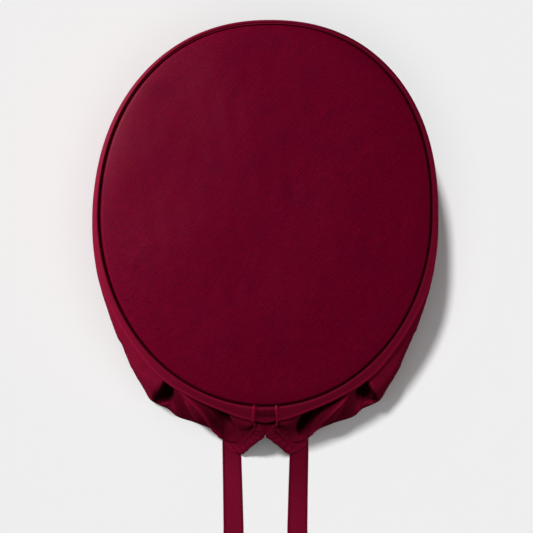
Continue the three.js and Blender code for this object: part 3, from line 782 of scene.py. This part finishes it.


def crown():
    """The domed oval top, with its edge turned down into the slot."""
    half_width = SEAM["half_width"]
    edge = half_width - CROWN["inside"]
    flat = np.arange(0, edge - CROWN_TURN, CROWN_STEP)
    insides, drops = np.array(CROWN_EDGE).T
    radii = np.append(flat, edge - insides)
    drops = np.append(0 * flat, drops)
    rise = CROWN["dome"] * np.clip(1 - (radii / half_width) ** 2, 0, 1) ** CROWN["fullness"]
    turns = np.arange(CROWN_COLUMNS) * 360 / CROWN_COLUMNS
    rim = seam_point(turns)[:, :2]
    middle = np.array([0, SEAM["middle_y"]])
    reach = np.linalg.norm(rim - middle, axis=1)
    true = smoothstep(radii, half_width - CROWN["blend"], half_width - CROWN["even"])[:, None]
    inset = (half_width - radii)[:, None] * ((reach / half_width) * (1 - true) + true)
    plan = middle + (rim - middle)[None] * (1 - inset / reach)[..., None]
    height = seam_height(plan[..., 1]) + (rise - drops)[:, None]
    calm = smoothstep(edge - radii, 0, CROWN_CALM)[:, None]
    for size, lengths, seed in CROWN_RIPPLES:
        height = height + size * calm * ripples(plan[..., 0], plan[..., 1], *lengths, seed)
    grid = np.concatenate([plan, height[..., None]], axis=-1)
    points = np.concatenate([grid[0, :1], grid[1:].reshape(-1, 3)])
    columns = CROWN_COLUMNS
    faces = [(0, 1 + (k + 1) % columns, 1 + k) for k in range(columns)]
    faces += [tuple(1 + at for at in face) for face in grid_faces(len(grid) - 1, columns, True)]
    piece = new_piece("crown_cloth", points, faces, points[:, :2])
    turn_toward(piece, UP)
    # Painted shade on the crown's turned edge, where it goes down into the slot.
    edge_shade = SLOT_SHADE * smoothstep(radii[1:], edge - CROWN_SHADE_REACH, edge)
    paint_light(piece, np.append(0, np.repeat(edge_shade, CROWN_COLUMNS)))
    thicken(piece, CLOTH)
    return finish_piece(piece, crown_twill, "crown_twill", "crown_panel")


crown_piece = crown()


SEAM_LINE_COLUMNS, SEAM_LINE_SIDES = 720, 8
SEAM_LINE_INSIDE, SEAM_LINE_DROP = 0.08, 2.6  # its place, from the seam oval
SEAM_LINE_WIDE, SEAM_LINE_HIGH = 0.45, 0.6  # half its width and height


def crown_seam():
    """The sewn line at the bottom of the slot, which closes it."""
    columns, sides = SEAM_LINE_COLUMNS, SEAM_LINE_SIDES
    turns = np.linspace(0, 360, columns + 1)[:-1]
    z = seam_point(turns)[:, 2] - SEAM_LINE_DROP
    middle = band_point(turns, -SEAM_LINE_INSIDE, z)
    rings = []
    for angle in angles_round(sides):
        rings.append(middle + outward(turns) * SEAM_LINE_WIDE * math.cos(angle)
                     + UP * SEAM_LINE_HIGH * math.sin(angle))
    faces = []
    for side in range(sides):
        row, next_row = side * columns, (side + 1) % sides * columns
        for column in range(columns):
            after = (column + 1) % columns
            faces.append((next_row + column, next_row + after, row + after, row + column))
    piece = new_piece("seam_line", np.stack(rings), faces)
    return finish_piece(piece, thread, "crown_twill")


crown_seam()


# ---- The side band ----
BAND_ROWS = (2, 3, 6, 5, 5, 3, 15, 15, 11)  # strips of cloth between one control line and the next
SLOT_ROW, RIDGE_ROW, TUCK_ROW = (sum(BAND_ROWS[:line]) for line in (1, RIDGE_LINE, RIDGE_LINE + 1))
BAND_SAMPLES = 6001  # points of the lines that are measured to space the columns
BAND_MEASURED = ((0.4, 0.6), (1, 0.4))  # those lines' heights, from rim to ridge, and their weights
BAND_STEP = 0.8  # width of a column at the back
FRONT_WEIGHT = 0.55  # columns in front are wider by one over this
FRONT_STARTS = (0.42, 0.5)  # shares of the way round where that begins and is full

# Unevenness of the wall. Each kind is its wave lengths round and down, and its seed.
WAVE_HEIGHT, WAVE_KIND = 0.16, (34, 120, 11)
RIPPLE_HEIGHT, RIPPLE_KIND = 0.07, (13, 50, 12)
PUCKER_HEIGHT, PUCKER_KIND = 0.1, (5.5, 30, 13)
WALL_CALM = 14  # how far under the ridge it is at its full height
PUCKER_REACH = 4.5
HEM_SEAM_DEPTH, HEM_SEAM_WIDTH = 0.06, 0.8
TUCK_CALM = 4  # how far under the ridge's tuck the creases are at their full height
BACK_REACH = 45  # how far behind Y = 0 the pressed ridge is at its full height
RIM_CALM, RIM_SHARE = 3, 0.25  # near the rim all relief falls to this share
SLOT_FADE = (-0.1, 0.6)  # where the painted shade in the slot ends, measured down from its first strip
HEM_STEP = 0.3  # how far under its stitching the hem's thicker cloth begins


def band_columns():
    """Where the band's columns stand, as shares of the way round: closer together at the back."""
    fine = np.linspace(0, 1, BAND_SAMPLES)
    lengths = 0
    for height, weight in BAND_MEASURED:
        line = band_surface(fine, [down_at(height)])[0]
        lengths = lengths + np.linalg.norm(np.diff(line, axis=0), axis=1) * weight
    at_back = 1 - smoothstep(np.minimum(fine[1:], 1 - fine[1:]), *FRONT_STARTS)
    lengths = lengths * (FRONT_WEIGHT + (1 - FRONT_WEIGHT) * at_back)
    along = np.concatenate([[0], np.cumsum(lengths)])
    count = int(along[-1] / BAND_STEP) + 1
    return np.interp(np.linspace(0, along[-1], count), along, fine)


def side_band():
    """The deep band from the crown's seam down to the rim, with its folds, creases and hem."""
    downs = [0]
    for line, strips in enumerate(BAND_ROWS):
        downs.extend((line + np.arange(1, strips + 1) / strips) / LAST_LINE)
    grid = band_surface(band_columns(), downs)
    u, v = flat_lengths(grid)
    from_rim = v[-1:] - v
    from_ridge = v - v[RIDGE_ROW]
    under_ridge = v[RIDGE_ROW].mean()
    on_wall = smoothstep(v, under_ridge, under_ridge + WALL_CALM)
    under_tuck = smoothstep(v - v[TUCK_ROW], 0, TUCK_CALM)
    at_back = smoothstep(-grid[:, :, 1], 0, BACK_REACH)
    in_slot = 1 - smoothstep(v - v[SLOT_ROW], *SLOT_FADE)
    from_seam = from_rim - HEM_HEIGHT
    relief = (WAVE_HEIGHT * on_wall * (ripples(u, v, *WAVE_KIND) - 1)
              + RIPPLE_HEIGHT * on_wall * ripples(u, v, *RIPPLE_KIND)
              + PUCKER_HEIGHT * bell(from_seam, PUCKER_REACH) * ripples(u, v, *PUCKER_KIND)
              - HEM_SEAM_DEPTH * bell(from_seam, HEM_SEAM_WIDTH))
    creases, painted_light = crease_heights(grid)
    bead, bead_width, bead_place = RIDGE_BEAD
    on_bead = at_back * bell(from_ridge - bead_place, bead_width)
    relief = relief + creases * under_tuck + bead * on_bead
    relief = relief * (RIM_SHARE + (1 - RIM_SHARE) * smoothstep(from_rim, 0, RIM_CALM))
    highlight_place, highlight_width, ridge_highlight = RIDGE_HIGHLIGHT
    on_ridge = at_back * bell(from_ridge - highlight_place, highlight_width)
    piece = cloth("band_cloth", grid + face_normals(grid) * relief[..., None])
    # Painted highlights along the creases and the ridge, and painted shade in the slot.
    paint_light(piece, np.maximum(painted_light * under_tuck, ridge_highlight * on_ridge) + SLOT_SHADE * in_slot)
    turn_toward(piece, AHEAD, len(piece.data.polygons) // 2)
    in_hem = np.where(from_rim < HEM_HEIGHT - HEM_STEP, 1.0, 0.0)
    thicken(piece, HEM_CLOTH, in_hem, CLOTH / HEM_CLOTH)
    keep_above_ground(piece)
    return finish_piece(piece, band_twill, "band_twill", "side_band")


band = side_band()


# ---- The slit at the back ----
SQUARENESS = 0.8  # 1 is a round section, and less is squarer


def slit_edge(side, downs):
    """The band's edge at the slit: a point for each share of the way down."""
    return band_surface([0 if side > 0 else 1], downs)[:, 0]


def squarer(value):
    return math.copysign(abs(value) ** SQUARENESS, value)


def sewn_line(name, line, normals, step, length, width):
    """Stitches evenly spaced along a line that lies on a cloth."""
    at = spaced(line, step)
    seam = stitches(name, points_at(line, at), points_at(np.gradient(line, axis=0), at),
                    points_at(normals, at), length, width)
    return finish_piece(seam, thread, "crown_twill")


BACK_HEM_ENDS = (0.1, 0.93)  # as shares of the way down the slit's edge
BACK_HEM_RINGS, BACK_HEM_SIDES = 60, 16
BACK_HEM_WIDE, BACK_HEM_DEEP = 0.62, 0.5  # half its width and depth
BACK_HEM_LAP, BACK_HEM_UP = 0.35, 0.4  # its middle's place, over the edge and above it
BACK_HEM_SEAM_BACK, BACK_HEM_SEAM_UP = 0.25, 0.47  # its stitches' place from its middle
# a painted highlight all along the rolled hem
HEM_HIGHLIGHT = 0.45


def back_hem(label, side):
    """The narrow rolled hem along the edge of the slit."""
    edge = slit_edge(side, np.linspace(*BACK_HEM_ENDS, BACK_HEM_RINGS))
    out = unit(np.cross(unit(np.gradient(edge, axis=0)), ACROSS))
    middle = edge + out * BACK_HEM_UP + ACROSS * side * BACK_HEM_LAP
    lines = []
    for angle in angles_round(BACK_HEM_SIDES):
        lines.append(middle + ACROSS * BACK_HEM_WIDE * squarer(math.cos(angle))
                     + out * BACK_HEM_DEEP * squarer(math.sin(angle)))
    piece = tube(f"hem_cloth_{label}", lines)
    paint_light(piece, np.full(len(piece.data.vertices), HEM_HIGHLIGHT))
    finish_piece(piece, trim_twill, "trim_twill", f"back_hem_{label}")
    seam = middle + out * BACK_HEM_SEAM_UP - ACROSS * side * BACK_HEM_SEAM_BACK
    return [piece, sewn_line(f"hem_stitches_{label}", seam, out, step=1.7, length=1.15, width=0.3)]


BRIDGE = {
    "ends": (0.08, 0.45),  # as shares of the way down the slit's edge
    "half_width": 5.75,
    "bow": 0.4,  # how far its middle stands behind its sides,
    "arch": 0.7,  # and how much more at its lower end,
    "arch_drop": 0.6,  # which hangs lower by this share of it
    "drop": 0.35,  # how far it lies under the slit's edge
}
BRIDGE_ROWS, BRIDGE_COLUMNS = 48, 33
BRIDGE_SEWN = slice(4, 44)  # the rows where the stitches down its middle show
BRIDGE_SEAM_UP = 0.1
# The soft creases across it: place, depth and lean.
BRIDGE_CREASES = ((4.3, 0.5, 0.25), (6.9, 0.6, -0.2), (9.6, -0.3, 0))
BRIDGE_CREASE_WIDTH = 0.55
# Painted shade on it, by distance behind Y = 0: dark in the crown's slot, and darker over its
# creased middle.
BRIDGE_SHADE = ((81.9, 82.4, 83.8, 84.8, 87.6, 88.3, 88.9), (-0.7, 0, 0, -0.33, -0.36, -0.08, 0))


def bridge():
    """The short panel over the top of the slit, with its soft creases."""
    across = np.linspace(-1, 1, BRIDGE_COLUMNS)[None]
    edge = slit_edge(1, np.linspace(*BRIDGE["ends"], BRIDGE_ROWS))
    arch = np.linspace(0, 1, BRIDGE_ROWS)[:, None] ** 3 * (1 - across ** 2) * BRIDGE["arch"]
    bow = BRIDGE["bow"] * (1 - across ** 2)
    x = 0 * arch - BRIDGE["half_width"] * across  # from +X to -X
    z = edge[:, 2:3] - BRIDGE["drop"] - arch * BRIDGE["arch_drop"]
    grid = np.stack([x, edge[:, 1:2] - bow - arch, z], axis=-1)
    along = run_along(edge)[:, None]
    creases = sum(depth * bell(along - at - lean * across, BRIDGE_CREASE_WIDTH)
                  for at, depth, lean in BRIDGE_CREASES)
    normals = face_normals(grid)
    grid = grid - normals * creases[..., None]
    piece = cloth("bridge_cloth", grid)
    paint_light(piece, np.interp(-grid[..., 1], *BRIDGE_SHADE))
    turn_toward(piece, UP)
    thicken(piece, INSERT_CLOTH)
    finish_piece(piece, band_twill, "band_twill", "back_bridge")
    middle, up = (rows[BRIDGE_SEWN, BRIDGE_COLUMNS // 2] for rows in (grid, normals))
    middle = middle + up * BRIDGE_SEAM_UP
    seam = sewn_line("bridge_stitches", middle, up, step=2.4, length=1.0, width=0.28)


GUSSET_ROWS, GUSSET_COLUMNS = 40, 41
GUSSET_TUCK = 1.8
# Painted light on it, by share of the way down: a painted shadow under the bridge, and a painted
# paler lower part.
GUSSET_LIGHT_AND_SHADE = ((0, 0.28, 0.4, 1), (-0.5, -0.5, 0.3, 0.3))


def gusset():
    """The V of cloth behind the slit, folded down its middle. It reaches in behind the band."""
    shares = np.linspace(0, 1, GUSSET_ROWS)
    across = np.linspace(-1, 1, GUSSET_COLUMNS)[None]
    rows = through([(half + GUSSET_TUCK, y, z) for z, half, y, _ in GUSSET], shares)
    fold = through([(depth, 0, 0) for *_, depth in GUSSET], shares)[:, :1]
    grid = np.stack([-across * rows[:, :1], rows[:, 1:2] + fold * (1 - np.abs(across)) * 2,
                     rows[:, 2:] + 0 * across], axis=-1)
    piece = cloth("gusset_cloth", grid)
    paint_light(piece, np.interp(shares, *GUSSET_LIGHT_AND_SHADE)[:, None] + 0 * across)
    turn_toward(piece, -AHEAD)
    thicken(piece, INSERT_CLOTH)
    finish_piece(piece, band_twill, "band_twill", "back_gusset")


CASING_RINGS, CASING_SIDES = 260, 32
CASING_LAP = 1.3  # how far the casing's cloth runs on over the band, past its stitches
CASING_FLATNESS = 0.62
CASING_SEAM_INSIDE = 1.6  # how far its stitches stand from its lapped edge
CASING_SEAM_DEPTHS, CASING_SEAM_UP = 1.05, 0.05  # how high they stand: in half depths, plus this
CASING_SEWN = (0.05, 0.62)  # shares of its length where its stitches show

# Its gathers. Places across it go from -1 at the lapped edge to 1 at the free edge.
GATHERS = 9
GATHER_DRIFT, GATHER_DRIFTS = 1.6, 9  # how unevenly they are spaced: how much, how often
GATHER_SLANT = 0.9
GATHER_PLACE, GATHER_REACH = 0.3, 0.6
GATHER_HEIGHT = 0.648  # in half depths
GATHER_PULL = 0.03  # how far they pull the free edge in and out, as a share of half its width
# painted highlights on the crowns of the gathers
GATHER_HIGHLIGHT = 0.4
# a painted highlight along the free edge: how much, its place across, its width
EDGE_HIGHLIGHT, EDGE_HIGHLIGHT_PLACE, EDGE_HIGHLIGHT_WIDTH = 0.3, 0.94, 0.1
EDGE_HIGHLIGHT_FADE = (0.5, 0.8)  # shares of its length where the painted highlight along the free edge fades out


def casing(label, side):
    """The gathered end of the rim's hem, from the top of the arch down to the tie."""
    shares = np.linspace(0, 1, CASING_RINGS)
    stitch = through([(-side * sx, sy, z) for z, (sx, sy), _, _ in CASING], shares)
    edge = through([(-side * ex, ey, z) for z, _, (ex, ey), _ in CASING], shares)
    depths = through([(d, 0, 0) for *_, d in CASING], shares)[:, 0] / 2 * CASING_FLATNESS
    stitch = stitch - unit(edge - stitch) * CASING_LAP
    half = (edge - stitch) / 2
    out = unit(np.cross(unit(np.gradient(stitch + edge, axis=0)), half)) * side
    phase = math.tau * GATHERS * shares + GATHER_DRIFT * np.sin(GATHER_DRIFTS * shares + side)
    pull = 1 + GATHER_PULL * np.cos(phase)
    edge_highlight = EDGE_HIGHLIGHT * (1 - smoothstep(shares, *EDGE_HIGHLIGHT_FADE))
    lines, painted_light = [], []
    for angle in angles_round(CASING_SIDES):
        at, height = math.cos(angle), squarer(math.sin(angle))
        wave = 0.5 + 0.5 * np.cos(phase + GATHER_SLANT * at)
        wave = wave * bell(at - GATHER_PLACE, GATHER_REACH)
        high = height + GATHER_HEIGHT * wave * max(height, 0)
        lines.append(stitch + half * (1 + at * pull[:, None]) + out * (depths * high)[:, None])
        # Painted highlights on the gathers and along the free edge.
        painted_light.append(GATHER_HIGHLIGHT * wave + edge_highlight * bell(at - EDGE_HIGHLIGHT_PLACE, EDGE_HIGHLIGHT_WIDTH))
    piece = tube(f"casing_cloth_{label}", lines)
    paint_light(piece, np.stack(painted_light, axis=1))
    finish_piece(piece, trim_twill, "trim_twill", f"casing_{label}")
    seam_up = depths * CASING_SEAM_DEPTHS + CASING_SEAM_UP
    seam = stitch + unit(half) * CASING_SEAM_INSIDE + out * seam_up[:, None]
    sewn = slice(*(int(share * CASING_RINGS) for share in CASING_SEWN))
    name = f"casing_stitches_{label}"
    return [piece, sewn_line(name, seam[sewn], out[sewn], step=2.0, length=1.3, width=0.3)]


bridge()
gusset()
edge_pieces = []
for label, side in SIDES:
    edge_pieces += back_hem(label, side) + casing(label, side)


# ---- Floor, lights and world, in metres and watts ----
FLOOR_SIZE, FLOOR_COLOUR, FLOOR_UNEVENNESS = 8, (0.93, 0.93, 0.93), 0.008
WORLD_STRENGTH = 0.02

# Each sun: name, slope, width in degrees, strength, and whether it leaves the floor out or lights
# it alone. The floor has its own, so that the length of the shadow can be set by itself.
SUNS = (
    ("key", (0.112, -0.185, -1), 5, 1.6, "EXCLUDE"),
    ("key on the floor", (0.175, -0.32, -1), 4.5, 2.13, "INCLUDE"),
)
# Each soft light: name, place, aim, size, power, whether it shows in gloss, and the floor as above.
SOFT_LIGHTS = (
    ("low side light", (-0.4, 0.2, 0.2), (0, 0, 0.08), 0.15, 2.2, True, "EXCLUDE"),
    ("high side light", (-0.3, 0.15, 0.4), (0, 0, 0.06), 0.2, 0.6, True, "EXCLUDE"),
    ("fill light", (0.45, -0.1, 0.16), (0, -0.02, 0.06), 0.15, 0.7, False, "EXCLUDE"),
    ("rear side light", (-0.45, -0.1, 0.16), (0, -0.02, 0.06), 0.15, 0.4, False, "EXCLUDE"),
    ("floor wash", (0, 0, 2.2), (0, 0, 0), 1.6, 14.6, False, "INCLUDE"),
)


def floor():
    bpy.ops.mesh.primitive_plane_add(size=FLOOR_SIZE, location=(0, 0, 0))
    ground = bpy.context.object
    ground.name = "floor"
    ground.data.materials.append(painted("pale floor", FLOOR_COLOUR, FLOOR_UNEVENNESS))
    ground.select_set(False)
    ground.visible_glossy = False
    ground.visible_diffuse = False
    return ground


ground = floor()


def add_light(data, direction, place, shows_in_gloss, link):
    """Places a light that leaves the floor out with EXCLUDE, or lights it alone with INCLUDE."""
    light = bpy.data.objects.new(data.name, data)
    light.location = place
    light.rotation_euler = Vector(direction).to_track_quat("-Z", "Y").to_euler()
    light.visible_glossy = shows_in_gloss
    bpy.context.collection.objects.link(light)
    group = bpy.data.collections.new(data.name + " falls on")
    group.objects.link(ground)
    group.collection_objects[0].light_linking.link_state = link
    light.light_linking.receiver_collection = group


for name, slope, angle, strength, link in SUNS:
    sun = bpy.data.lights.new(name, "SUN")
    sun.energy = strength
    sun.angle = math.radians(angle)
    add_light(sun, slope, (0, 0, 0), False, link)

for name, place, aim, size, power, shows_in_gloss, link in SOFT_LIGHTS:
    lamp = bpy.data.lights.new(name, "AREA")
    lamp.shape = "DISK"
    lamp.size = size
    lamp.energy = power
    add_light(lamp, np.subtract(aim, place), place, shows_in_gloss, link)

world = bpy.data.worlds.new("studio")
bpy.context.scene.world = world
world.use_nodes = True
world.cycles_visibility.glossy = False
background = world.node_tree.nodes["Background"]
background.inputs[0].default_value = (1, 1, 1, 1)
background.inputs[1].default_value = WORLD_STRENGTH
bpy.context.scene.view_settings.view_transform = "Standard"
